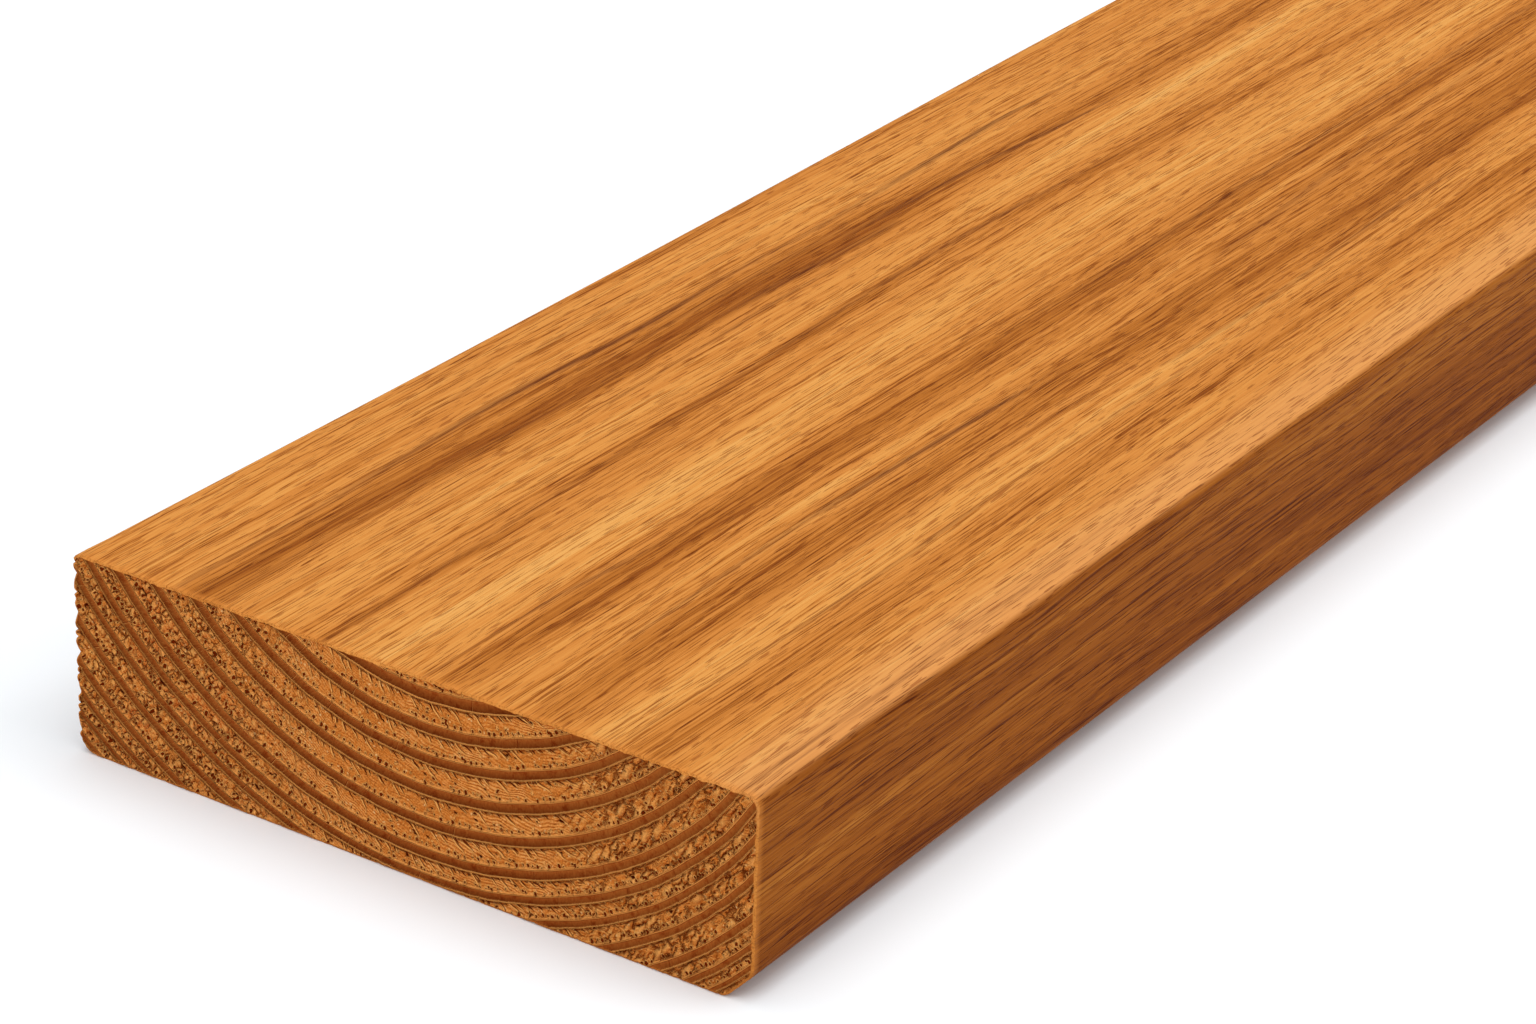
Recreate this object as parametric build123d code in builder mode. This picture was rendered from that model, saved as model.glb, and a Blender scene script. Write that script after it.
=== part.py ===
"""A planed teak plank, lying flat: one solid board, sawn square at both ends.

Millimetres, +Z up. The origin is on the floor, under the middle of the board. The length runs
along X and the width along Y. The front edge is the long side towards -Y.
"""

import os

from build123d import *

# Planed board
length = 1200.0
width = 140.0
thickness = 38.0

# Long arrises, rounded over by hand, so that no two are quite alike
front_top_radius = 2.2
back_top_radius = 1.8
back_bottom_radius = 4.0

# Fourth long arris: a broad easing planed off aslant, softened where it meets the two faces
easing_across = 5.3
easing_up = 5.7
easing_blend_radius = 3.0

# Sharp corner taken off all round each sawn end
end_chamfer = 0.4

# The section stands on the floor line, between these two edges
front_edge = -width / 2
back_edge = width / 2

with BuildPart() as plank:
    with BuildSketch(Plane.YZ.offset(-length / 2)):
        with BuildLine():
            FilletPolyline(
                (back_edge, 0),
                (back_edge, thickness),
                (front_edge, thickness),
                (front_edge, easing_up),
                (front_edge + easing_across, 0),
                radius=[
                    back_bottom_radius,
                    back_top_radius,
                    front_top_radius,
                    easing_blend_radius,
                    easing_blend_radius,
                ],
                close=True,
            )
        make_face()
    extrude(amount=length)

    # The two sawn ends are the faces square to the length
    sawn_ends = plank.faces().filter_by(Axis.X)
    chamfer(sawn_ends.edges(), length=end_chamfer)

plank.part.label = "plank"

os.makedirs("parts", exist_ok=True)
export_step(plank.part, "parts/plank.step")
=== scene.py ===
"""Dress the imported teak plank: sawn end grain, planed faces, floor, light and camera.

The board is one mesh. Each end is a fan of growth rings about the tree's pith, cut to the board's
section as the saw would cut it, with the bands, pores and torn fibres standing in relief. The long
faces run between the two ends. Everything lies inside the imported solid.
"""

import logging
import math
from dataclasses import dataclass, field
from enum import Enum
from functools import partial, reduce
from typing import Callable, Iterable, Sequence

import bmesh
import bpy
import numpy as np
from mathutils import Matrix, Vector, noise

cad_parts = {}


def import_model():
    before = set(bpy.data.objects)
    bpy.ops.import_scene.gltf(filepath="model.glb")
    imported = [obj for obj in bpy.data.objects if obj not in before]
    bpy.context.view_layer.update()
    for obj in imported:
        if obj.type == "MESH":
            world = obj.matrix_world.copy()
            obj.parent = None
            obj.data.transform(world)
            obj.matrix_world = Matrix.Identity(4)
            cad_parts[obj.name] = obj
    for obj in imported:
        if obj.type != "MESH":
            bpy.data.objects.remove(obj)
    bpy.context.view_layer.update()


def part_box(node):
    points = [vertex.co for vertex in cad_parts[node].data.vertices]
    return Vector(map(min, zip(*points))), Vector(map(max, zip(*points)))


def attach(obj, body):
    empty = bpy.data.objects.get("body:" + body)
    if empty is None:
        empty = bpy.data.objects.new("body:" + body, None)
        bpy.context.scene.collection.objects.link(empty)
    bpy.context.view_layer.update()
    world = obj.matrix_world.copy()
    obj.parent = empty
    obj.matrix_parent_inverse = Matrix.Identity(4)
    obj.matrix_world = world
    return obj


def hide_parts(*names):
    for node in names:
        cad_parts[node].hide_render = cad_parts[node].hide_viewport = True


LOG = logging.getLogger("teak_plank")
MM = 0.001
NODE = "plank"


class End(Enum):
    """The two sawn ends, by the side of the origin that they are on."""

    NEAR = -1
    FAR = 1


class Coat(Enum):
    """Material slots of the board, in the order of the mesh."""

    END_GRAIN = 0
    PLANED = 1


# What the mesh tells the end's finish at each place: the ring number, millimetres round the ring,
# below the last late wood and above the next, the share of the way through the late wood, how open
# a pore is, how sunk the place is, and how far from the board's rim
END_PLACES = (
    "ring", "round_mm", "below_late_mm", "above_late_mm", "into_late", "pore", "depth_mm", "rim_mm",
)


def linear(hex_colour: str) -> tuple[float, float, float, float]:
    """Turn an sRGB hex colour into linear RGBA.

    Args:
        hex_colour: six hex digits.

    Returns:
        Linear red, green and blue, and an alpha of 1.
    """
    channels = [int(hex_colour[i:i + 2], 16) / 255 for i in (0, 2, 4)]
    red, green, blue = (c / 12.92 if c <= 0.04045 else ((c + 0.055) / 1.055) ** 2.4 for c in channels)
    return red, green, blue, 1.0


def smooth_step(low: float, high: float, values: np.ndarray) -> np.ndarray:
    """Rise smoothly from 0 at low to 1 at high."""
    share = np.clip((values - low) / (high - low), 0.0, 1.0)
    return share * share * (3.0 - 2.0 * share)


def noise_field(first: np.ndarray, second: np.ndarray, third: float = 0.0) -> np.ndarray:
    """Sample smooth noise, about -1 to 1, at points given in cells of the pattern.

    Args:
        first: coordinates along the first axis.
        second: coordinates along the second axis, of the same shape.
        third: place of the slice along the third axis.

    Returns:
        Noise values in the shape of first.
    """
    pairs = zip(first.ravel(), second.ravel())
    values = [noise.noise((a, b, third)) for a, b in pairs]
    return np.array(values).reshape(first.shape)


# The board's section


@dataclass(frozen=True)
class Corner:
    """One corner of the section before rounding, and the radius of its arris, in millimetres."""

    y: float
    z: float
    radius: float


@dataclass(frozen=True)
class Section:
    """The board's outline in Y and Z, a convex polygon with rounded corners, in millimetres."""

    width: float
    thickness: float
    front_top_radius: float = 2.2
    back_top_radius: float = 1.8
    back_bottom_radius: float = 4.0
    easing_across: float = 5.3
    easing_up: float = 5.7
    easing_blend_radius: float = 3.0
    arc_step: float = math.radians(12)

    def corners(self) -> list[Corner]:
        """List the corners in order round the section, from the back bottom one."""
        back = self.width / 2
        front = -back
        return [
            Corner(back, 0.0, self.back_bottom_radius),
            Corner(back, self.thickness, self.back_top_radius),
            Corner(front, self.thickness, self.front_top_radius),
            Corner(front, self.easing_up, self.easing_blend_radius),
            Corner(front + self.easing_across, 0.0, self.easing_blend_radius),
        ]

    def outline(self, inset: float = 0.0, flat_step: float = 0.0) -> np.ndarray:
        """Walk round the section.

        Args:
            inset: distance by which the outline is drawn in.
            flat_step: longest run on a flat before a point is added, or 0 for none.

        Returns:
            Points as rows of Y and Z.
        """
        corners = self.corners()
        points: list[np.ndarray] = []
        for index, corner in enumerate(corners):
            here = np.array([corner.y, corner.z])
            before = corners[index - 1]
            after = corners[(index + 1) % len(corners)]
            to_before = np.array([before.y, before.z]) - here
            to_after = np.array([after.y, after.z]) - here
            to_before /= np.linalg.norm(to_before)
            to_after /= np.linalg.norm(to_after)
            half_angle = math.acos(float(np.clip(to_before @ to_after, -1, 1))) / 2
            inward = (to_before + to_after) / np.linalg.norm(to_before + to_after)
            centre = here + inward * corner.radius / math.sin(half_angle)
            reach = corner.radius - inset
            start = np.array([to_before[1], -to_before[0]])
            start = -start if start @ inward > 0 else start
            turn = math.pi - 2 * half_angle
            steps = max(2, round(turn / self.arc_step))
            for step in range(steps + 1):
                angle = turn * step / steps
                cos, sin = math.cos(angle), math.sin(angle)
                spoke = np.array([start[0] * cos - start[1] * sin, start[0] * sin + start[1] * cos])
                points.append(centre + spoke * reach)
        outline = np.array(points)
        if flat_step <= 0:
            return outline
        dense: list[np.ndarray] = []
        for here, after in zip(outline, np.roll(outline, -1, axis=0)):
            runs = max(1, math.ceil(np.linalg.norm(after - here) / flat_step))
            dense += [here + (after - here) * run / runs for run in range(runs)]
        return np.array(dense)

    def nearest(self, points: np.ndarray) -> tuple[np.ndarray, np.ndarray]:
        """Find the nearest place on the full outline to each point.

        Args:
            points: rows of Y and Z.

        Returns:
            Rows of Y and Z on the outline, and unit rows of Y and Z that point inward from there.
        """
        start = self.outline()
        run = np.roll(start, -1, axis=0) - start
        share = ((points[:, None] - start) * run).sum(2) / (run * run).sum(1)
        feet = start + np.clip(share, 0.0, 1.0)[..., None] * run
        side = np.linalg.norm(points[:, None] - feet, axis=2).argmin(1)
        inward = np.stack((-run[:, 1], run[:, 0]), axis=1) / np.linalg.norm(run, axis=1)[:, None]
        inward *= np.sign(((start.mean(0) - start) * inward).sum(1))[:, None]
        return feet[np.arange(len(points)), side], inward[side]


# The tree's growth rings, as the end shows them


@dataclass(frozen=True)
class GrowthRings:
    """Growth rings about a pith above the board, in millimetres.

    A ring's number counts outwards from the pith. Its early wood comes first, and its dark late
    wood ends at the whole number. Each pair is the radius straight below the pith at which the
    late wood ends, and the late wood's width.
    """

    pith_y: float = -3.7
    pith_z: float = 83.0
    late_wood: tuple[tuple[float, float], ...] = (
        (41.0, 1.8), (49.0, 2.5), (55.0, 2.1), (60.6, 2.0), (66.6, 2.1), (72.5, 2.0), (78.4, 2.0),
        (82.9, 1.7), (87.0, 1.6), (91.9, 1.7), (97.1, 1.7), (100.9, 1.4), (103.8, 1.2), (107.2, 1.4),
        (110.8, 1.4), (114.4, 1.4), (118.0, 1.4),
    )
    wander: float = 0.16

    def base_radius(self, ring: np.ndarray) -> np.ndarray:
        """Radius straight below the pith at which a ring number falls."""
        borders = [border for border, _ in self.late_wood]
        return np.interp(ring, np.arange(len(borders)), borders)

    def borders(self, ring: np.ndarray) -> tuple[np.ndarray, np.ndarray]:
        """Radii straight below the pith at which the ring that a number falls in starts and ends."""
        whole = np.floor(ring)
        return self.base_radius(whole), self.base_radius(whole + 1.0)

    def late_width(self, ring: np.ndarray) -> np.ndarray:
        """Width of the late wood of the ring that a number falls in."""
        widths = np.array([width for _, width in self.late_wood])
        return widths[np.minimum(np.floor(ring).astype(int) + 1, len(widths) - 1)]

    def place(self, ring: np.ndarray, angle: np.ndarray) -> tuple[np.ndarray, np.ndarray]:
        """Find where a ring stands at an angle from straight down, positive towards the front.

        Args:
            ring: ring numbers, fractions allowed.
            angle: angles in radians, of the same shape.

        Returns:
            Y and Z in millimetres.
        """
        base = self.base_radius(ring)
        growth = (base - 75.0) / 30.0
        lean = (-1.71 - 12.13 * growth) * np.sin(angle)
        oval = (-0.08 + 0.97 * growth) * (np.cos(2 * angle) - 1.0)
        skew = (1.16 + 5.75 * growth) * np.sin(2 * angle)
        wobble = self.wander * noise_field(angle * 9.0, ring * 0.45, 3.0)
        wobble += 0.5 * self.wander * noise_field(angle * 30.0, ring * 0.9, 7.0)
        radius = base + lean + oval + skew + wobble
        return self.pith_y - radius * np.sin(angle), self.pith_z - radius * np.cos(angle)

    def late_start(self, ring: np.ndarray) -> np.ndarray:
        """Share of a ring at which its late wood starts."""
        lower, upper = self.borders(ring)
        return 1.0 - self.late_width(ring) / (upper - lower)

    def into_late(self, ring: np.ndarray) -> np.ndarray:
        """Share of the way through the late wood, 0 in the early wood, and 1 at a whole number."""
        inside = ring - 1e-6
        share = inside - np.floor(inside)
        return np.clip(1 - (1 - share) / (1 - self.late_start(inside)), 0, 1)


@dataclass
class SawnEnd:
    """One sawn end: a fan of ring cells with its relief, cut to the board's section."""

    end: End
    section: Section
    rings: GrowthRings
    half_length: float
    seed: int
    across_step: float = 0.29
    round_step: float = 0.40
    chamfer: float = 0.4
    round_radius: float = 80.0
    first_ring: float = 0.5
    last_ring: float = 15.6
    angle_low: float = math.radians(-61)
    angle_high: float = math.radians(59)
    collar_places: tuple[float, ...] = (0.4, 0.9, 1.8, 3.5)
    collar_notches: tuple[float, ...] = (1.0, 0.6, 0.2, 0.0)
    notch_pitch: float = 2.4
    notch_bite: float = 0.85
    notch_reach: float = 1.9
    nibble: float = 0.30
    rim: float = 0.35
    border_edge: float = 0.12
    back_limits: tuple[float, float] = (18.0, 40.0)
    front_limits: tuple[float, float] = (-30.0, -52.0)
    early_depth: float = 0.36
    late_depth: float = 0.14
    lip_depth: float = 0.05
    hole_depth: float = 0.55
    torn_depth: float = 0.30
    torn_rise: float = 0.16
    least_depth: float = 0.03
    rows: np.ndarray = field(init=False)
    angles: np.ndarray = field(init=False)

    def __post_init__(self) -> None:
        """Lay out the rows of the fan, with extra ones at the borders of the late wood."""
        rows: list[float] = []
        edge = self.border_edge
        for ring in range(int(self.first_ring), int(self.last_ring) + 1):
            low, high = self.rings.base_radius(np.array([ring, ring + 1.0]))
            pitch = high - low
            late = float(self.rings.late_start(np.array(ring + 0.5))) * pitch
            early_cells = max(3, round((late - 2 * edge) / self.across_step))
            band_cells = max(2, round((pitch - late - 2 * edge) / (self.across_step * 1.3)))
            marks = [0.0]
            marks += list(np.linspace(edge, late - edge, early_cells + 1))
            marks += [late]
            marks += list(np.linspace(late + edge, pitch - edge, band_cells + 1))
            rows += [ring + mark / pitch for mark in marks]
        self.rows = np.array([row for row in rows if self.first_ring <= row <= self.last_ring])
        columns = round((self.angle_high - self.angle_low) * self.round_radius / self.round_step)
        self.angles = np.linspace(self.angle_low, self.angle_high, columns + 1)

    def relief(
        self, ring: np.ndarray, angle: np.ndarray, y: np.ndarray, z: np.ndarray,
    ) -> tuple[np.ndarray, np.ndarray]:
        """Work out how far the saw and the weather sank each point below the end's plane.

        Args:
            ring: ring number of each vertex of the fan, by row and column.
            angle: angle of each vertex.
            y: Y of each vertex in millimetres.
            z: Z of each vertex in millimetres.

        Returns:
            Depth in millimetres, and how much each vertex is the bottom of a pore, 0 to 1.
        """
        rng = np.random.default_rng(self.seed)
        share = ring - np.floor(ring)
        late_start = self.rings.late_start(ring)
        lower, upper = self.rings.borders(ring)
        pitch = upper - lower
        along = angle * self.round_radius
        from_band = share * pitch
        to_band = (late_start - share) * pitch
        in_band = np.clip((share - late_start) / (1 - late_start), 0, 1)
        is_band = (to_band < 0.01).astype(float)

        back_part = smooth_step(*self.back_limits, y)
        front_part = smooth_step(*self.front_limits, y)

        # Early wood is sunk and crumbly, late wood stands smooth with a lip at both borders
        crumbs = 0.06 * noise_field(along / 0.7, from_band / 0.5, self.seed)
        crumbs += 0.07 * noise_field(along / 2.6, from_band / 1.4, self.seed + 5.0)
        early = self.early_depth + crumbs * (1 + 1.2 * back_part) + 0.10 * back_part
        band = self.late_depth + 0.10 * in_band + 0.02 * noise_field(along / 1.5, ring * 3, self.seed + 9.0)
        depth = early * (1 - is_band) + band * is_band
        lips = (share < 0.004) | (np.abs(to_band) < 0.02)
        depth = np.where(lips, self.lip_depth, depth)

        # Torn fibres near the front: long chips that lean over, with gaps between them
        chips = noise_field((y * 0.80 + z * 0.60) / 1.1, (z * 0.80 - y * 0.60) / 4.2, self.seed + 20.0)
        torn = front_part * smooth_step(4.0, 22.0, z) * (1 - is_band)
        sunk = self.torn_depth * smooth_step(0.05, 0.5, chips)
        raised = self.torn_rise * smooth_step(-0.05, -0.5, chips)
        depth += torn * (sunk - raised)

        # Larger holes towards the back edge, each sunk at a vertex of the fan and a little round it
        holes = np.zeros_like(depth)
        early_cells = (to_band > 0.5) & (from_band > 0.5)
        middles = early_cells & (rng.random(depth.shape) < 0.004 + 0.022 * back_part)
        for row, column in np.argwhere(middles[1:-1, 1:-1]) + 1:
            size = rng.uniform(0.6, 1.0)
            holes[row, column] = size
            for near in ((row + 1, column), (row, column + 1), (row + 1, column + 1)):
                holes[near] = max(holes[near], size * rng.uniform(0.4, 0.9))

        depth += self.hole_depth * holes
        return np.maximum(depth, self.least_depth), holes

    def grow(self, board: bmesh.types.BMesh) -> list[bmesh.types.BMEdge]:
        """Make the end's face in the board's mesh.

        Args:
            board: mesh that the face is added to.

        Returns:
            The edges round the face.
        """
        fan = bmesh.new()
        columns, rows = len(self.angles) - 1, len(self.rows) - 1
        bmesh.ops.create_grid(fan, x_segments=columns, y_segments=rows, size=1.0)
        fan.verts.ensure_lookup_table()
        grid = np.array([v.co[:2] for v in fan.verts])
        column_of = np.rint((grid[:, 0] + 1) / 2 * columns).astype(int)
        row_of = np.rint((grid[:, 1] + 1) / 2 * rows).astype(int)

        ring, angle = np.meshgrid(self.rows, self.angles, indexing="ij")
        y, z = self.rings.place(ring, angle)
        depth, pores = self.relief(ring, angle, y, z)
        lower, upper = self.rings.borders(ring)
        share = ring - np.floor(ring)
        places = {
            "ring": ring,
            "round_mm": angle * (lower + upper) / 2,
            "below_late_mm": share * (upper - lower),
            "above_late_mm": (self.rings.late_start(ring) - share) * (upper - lower),
            "into_late": self.rings.into_late(ring),
            "pore": pores,
            "depth_mm": depth,
        }

        layers = {name: fan.verts.layers.float.new(name) for name in END_PLACES}
        for vert, row, column in zip(fan.verts, row_of, column_of):
            vert.co = (0.0, y[row, column], z[row, column])
            for name, values in places.items():
                vert[layers[name]] = values[row, column]
        self.trim(fan)

        flat = np.array([v.co[1:] for v in fan.verts])
        feet, inward = self.section.nearest(flat)
        room = np.linalg.norm(flat - feet, axis=1) - self.chamfer
        sunk = 0.45 + 0.55 * smooth_step(0.0, self.rim, room)
        pushed = self.notch_depth(feet) * np.clip(1.0 - room / self.notch_reach, 0.0, 1.0)
        flat += inward * pushed[:, None]
        for vert, (y, z), share, gap in zip(fan.verts, flat, sunk, room):
            depth = share * vert[layers["depth_mm"]]
            vert.co = (self.end.value * (self.half_length - depth), y, z)
            vert[layers["rim_mm"]] = gap
        for face in fan.faces:
            face.material_index = Coat.END_GRAIN.value
            face.smooth = True
        self.face_outwards(fan)

        mesh = bpy.data.meshes.new("end_fan")
        fan.to_mesh(mesh)
        fan.free()
        before = set(board.edges)
        board.from_mesh(mesh)
        bpy.data.meshes.remove(mesh)
        return [edge for edge in board.edges if edge not in before and edge.is_boundary]

    def trim(self, fan: bmesh.types.BMesh) -> None:
        """Saw the fan along every side of the outline that the chamfer leaves."""
        outline = self.section.outline(inset=self.chamfer)
        centre = outline.mean(0)
        sides = sorted(zip(outline, np.roll(outline, -1, axis=0)), key=lambda s: -np.linalg.norm(s[1] - s[0]))
        for here, after in sides:
            run = after - here
            length = np.linalg.norm(run)
            if length < 1e-6:
                continue
            normal = np.array([run[1], -run[0]]) / length
            if normal @ (here - centre) < 0:
                normal = -normal
            places = np.array([v.co[1:] for v in fan.verts])
            outside = (places - here) @ normal > -1e-4
            faces = {face for vert, out in zip(fan.verts, outside) if out for face in vert.link_faces}
            edges = {edge for face in faces for edge in face.edges}
            verts = {vert for face in faces for vert in face.verts}
            bmesh.ops.bisect_plane(
                fan,
                geom=[*verts, *edges, *faces],
                dist=0.012,
                plane_co=(0.0, *here),
                plane_no=(0.0, *normal),
                clear_outer=True,
            )
        loose = [vert for vert in fan.verts if not vert.link_faces]
        bmesh.ops.delete(fan, geom=loose, context="VERTS")

    def face_outwards(self, fan: bmesh.types.BMesh) -> None:
        """Turn the faces so that they look out of the board."""
        fan.normal_update()
        if sum(face.normal.x for face in fan.faces) * self.end.value < 0:
            bmesh.ops.reverse_faces(fan, faces=fan.faces)

    def collar(self, board: bmesh.types.BMesh, edges: list[bmesh.types.BMEdge]) -> list[bmesh.types.BMEdge]:
        """Carry the end's edge over its small chamfer and a little way along the long faces.

        Args:
            board: the board's mesh.
            edges: the edges round the end's face.

        Returns:
            The edges round the collar's open mouth.
        """
        for edge in edges:
            edge.smooth = False
        for place, notched in zip(self.collar_places, self.collar_notches):
            grown = bmesh.ops.extrude_edge_only(board, edges=edges)["geom"]
            edges = [item for item in grown if isinstance(item, bmesh.types.BMEdge)]
            verts = [item for item in grown if isinstance(item, bmesh.types.BMVert)]
            for item in grown:
                if isinstance(item, bmesh.types.BMFace):
                    item.material_index = Coat.PLANED.value
            feet, inward = self.section.nearest(np.array([v.co[1:] for v in verts]))
            feet += inward * (notched * self.notch_depth(feet))[:, None]
            for vert, (y, z) in zip(verts, feet):
                vert.co = (self.end.value * (self.half_length - place), y, z)
        return edges

    def notch_depth(self, feet: np.ndarray) -> np.ndarray:
        """How deep the arris is chipped at places on the outline: bitten on the back edge, else nibbled."""
        along = feet[:, 1] / self.notch_pitch + 0.35 * np.sin(feet[:, 1] * 0.9 + self.seed)
        bite = (1 - np.abs(np.sin(math.pi * along))) ** 1.6
        back = smooth_step(-0.6, -0.1, feet[:, 0] - self.section.width / 2)
        nibbled = np.clip(noise_field(feet[:, 0] / 1.1, feet[:, 1] / 1.1, self.seed + 40.0), 0.0, 1.0)
        return self.notch_bite * bite * back + self.nibble * nibbled


@dataclass
class Plank:
    """The whole board, made in millimetres and scaled to metres at the end."""

    low: Vector
    high: Vector
    station_step: float = 12.0
    flat_step: float = 4.5
    sleeve_short: float = 8.0
    hollow_depth: float = 1.1
    hollow_middle: float = 150.0
    hollow_reach: float = 190.0
    section: Section = field(init=False)
    half_length: float = field(init=False)

    def __post_init__(self) -> None:
        """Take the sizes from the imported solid's box."""
        size = (self.high - self.low) / MM
        self.section = Section(width=size.y, thickness=size.z)
        self.half_length = size.x / 2

    def settle(self, verts: Iterable[bmesh.types.BMVert]) -> None:
        """Plane the long faces a little uneven: the back edge is hollow a short way from the near end."""
        for vert in verts:
            from_end = vert.co.x + self.half_length
            swell = max(0.0, 1.0 - ((from_end - self.hollow_middle) / self.hollow_reach) ** 2) ** 2
            back_share = max(0.0, vert.co.y / (self.section.width / 2)) ** 3
            vert.co.y -= self.hollow_depth * swell * back_share

    def long_faces(
        self, board: bmesh.types.BMesh,
    ) -> tuple[list[bmesh.types.BMEdge], list[bmesh.types.BMEdge]]:
        """Make the four long faces and their arrises as one sleeve, a little shorter than the board.

        Args:
            board: mesh that the sleeve is added to.

        Returns:
            The edges round the sleeve's near mouth and its far mouth.
        """
        outline = self.section.outline(flat_step=self.flat_step)
        reach = self.half_length - self.sleeve_short
        circle = bmesh.ops.create_circle(board, segments=len(outline), radius=1.0)
        loop = circle["verts"]
        loop.sort(key=lambda v: math.atan2(v.co.y, v.co.x) % math.tau)
        for vert, (y, z) in zip(loop, outline):
            vert.co = (-reach, y, z)
        first = list({edge for vert in loop for edge in vert.link_edges})
        edges, moved = first, list(loop)
        stations = round(2 * reach / self.station_step)
        for _ in range(stations):
            grown = bmesh.ops.extrude_edge_only(board, edges=edges)["geom"]
            edges = [item for item in grown if isinstance(item, bmesh.types.BMEdge)]
            verts = [item for item in grown if isinstance(item, bmesh.types.BMVert)]
            bmesh.ops.translate(board, vec=(2 * reach / stations, 0.0, 0.0), verts=verts)
            moved += verts
        for face in {face for vert in moved for face in vert.link_faces}:
            face.material_index = Coat.PLANED.value
        self.settle(moved)
        return first, edges

    def build(self) -> bpy.types.Object:
        """Make the board's object.

        Returns:
            The finished object, with no materials yet.
        """
        board = bmesh.new()
        near = SawnEnd(End.NEAR, self.section, GrowthRings(), self.half_length, seed=11)
        far_rings = GrowthRings(pith_y=4.5, pith_z=88.0)
        far = SawnEnd(End.FAR, self.section, far_rings, self.half_length, seed=29,
                      across_step=0.5, round_step=0.75)
        collars = [end.collar(board, end.grow(board)) for end in (near, far)]
        mouths = self.long_faces(board)
        for collar, mouth in zip(collars, mouths):
            for face in bmesh.ops.bridge_loops(board, edges=[*collar, *mouth])["faces"]:
                face.material_index = Coat.PLANED.value
        for face in board.faces:
            face.smooth = True
        bmesh.ops.triangulate(board, faces=[face for face in board.faces if len(face.verts) > 4])
        bmesh.ops.recalc_face_normals(board, faces=board.faces)
        LOG.info("board: %d faces, %d open edges", len(board.faces), sum(e.is_boundary for e in board.edges))
        mesh = bpy.data.meshes.new("sawn_plank")
        bmesh.ops.scale(board, vec=(MM, MM, MM), verts=board.verts)
        board.to_mesh(mesh)
        board.free()
        piece = bpy.data.objects.new("sawn_plank", mesh)
        bpy.context.scene.collection.objects.link(piece)
        return piece


# Finishes

Socket = bpy.types.NodeSocket
AddNode = Callable[..., Socket]

# Kinds of node
BUMP = "ShaderNodeBump"
COLOUR_RAMP = "ShaderNodeValToRGB"
MAP_RANGE = "ShaderNodeMapRange"
MAPPING = "ShaderNodeMapping"
MATH = "ShaderNodeMath"
MIX = "ShaderNodeMix"
NOISE = "ShaderNodeTexNoise"
SPLIT_COLOUR = "ShaderNodeSeparateColor"
VECTOR_MATH = "ShaderNodeVectorMath"
VORONOI = "ShaderNodeTexVoronoi"

# Settings of nodes
STEP = {"interpolation_type": "SMOOTHSTEP"}
ALONG_LINE = {"voronoi_dimensions": "1D"}
ABSOLUTE = {"operation": "ABSOLUTE"}
ADD = {"operation": "ADD"}
SUBTRACT = {"operation": "SUBTRACT"}
MULTIPLY = {"operation": "MULTIPLY"}
MULTIPLY_ADD = {"operation": "MULTIPLY_ADD"}
MAXIMUM = {"operation": "MAXIMUM"}
PINGPONG = {"operation": "PINGPONG"}
GREATER_THAN = {"operation": "GREATER_THAN"}
MIX_COLOUR = {"data_type": "RGBA"}
TINT_COLOUR = {"data_type": "RGBA", "blend_type": "MULTIPLY"}


def add_node(
    tree: bpy.types.NodeTree,
    kind: str,
    settings: dict[str, object] | None = None,
    inputs: dict[int | str, object] | None = None,
    output: int | str = 0,
    stops: Sequence[tuple[float, object]] = (),
) -> Socket:
    """Add a node with its settings and links.

    Args:
        tree: node tree that the node goes into.
        kind: the node's type.
        settings: properties to set on the node.
        inputs: a socket to link, or a plain value, for each input by index or name.
        output: the output wanted, by index or name.
        stops: a colour ramp's places with their hex colours, or a curve's with their values.

    Returns:
        The wanted output socket.
    """
    node = tree.nodes.new(kind)
    for name, value in (settings or {}).items():
        setattr(node, name, value)
    for key, value in (inputs or {}).items():
        if isinstance(value, Socket):
            tree.links.new(value, node.inputs[key])
        else:
            node.inputs[key].default_value = value
    points = node.color_ramp.elements if hasattr(node, "color_ramp") else None
    points = node.mapping.curves[0].points if hasattr(node, "mapping") and stops else points
    for index, (place, value) in enumerate(stops):
        if hasattr(node, "color_ramp"):
            point = points[index] if index < 2 else points.new(place)
            point.position, point.color = place, linear(value)
        else:
            point = points[index] if index < 2 else points.new(place, value)
            point.location = (place, value)
    if hasattr(node, "mapping") and stops:
        node.mapping.update()
    return node.outputs[output]


def lay_on(node: AddNode, colour: Socket, coats: Sequence[tuple[Socket, dict[str, str], str]]) -> Socket:
    """Lay coats over a colour, one after another.

    Args:
        node: adds a node to the finish.
        colour: what the coats are laid on.
        coats: how much shows of each, whether it covers or tints, and its hex colour.

    Returns:
        The colour under all its coats.
    """
    for share, way, paint in coats:
        colour = node(MIX, way, {0: share, 6: colour, 7: linear(paint)}, output=2)
    return colour


@dataclass(frozen=True)
class EndPlaces:
    """Where a place on the sawn end is, as sockets: millimetres, and shares from 0 to 1."""

    ring: Socket
    round_mm: Socket
    below_late_mm: Socket
    above_late_mm: Socket
    into_late: Socket
    pore: Socket
    depth_mm: Socket
    rim_mm: Socket
    flat: Socket
    spot: Socket
    whole_ring: Socket
    to_back: Socket
    to_front: Socket
    middle: Socket
    crumbs: Socket


@dataclass(frozen=True)
class Marks:
    """Small relief on the sawn end, as sockets that are 1 on the mark and 0 off it."""

    raised: tuple[Socket, ...] = ()
    holes: tuple[Socket, ...] = ()


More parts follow.
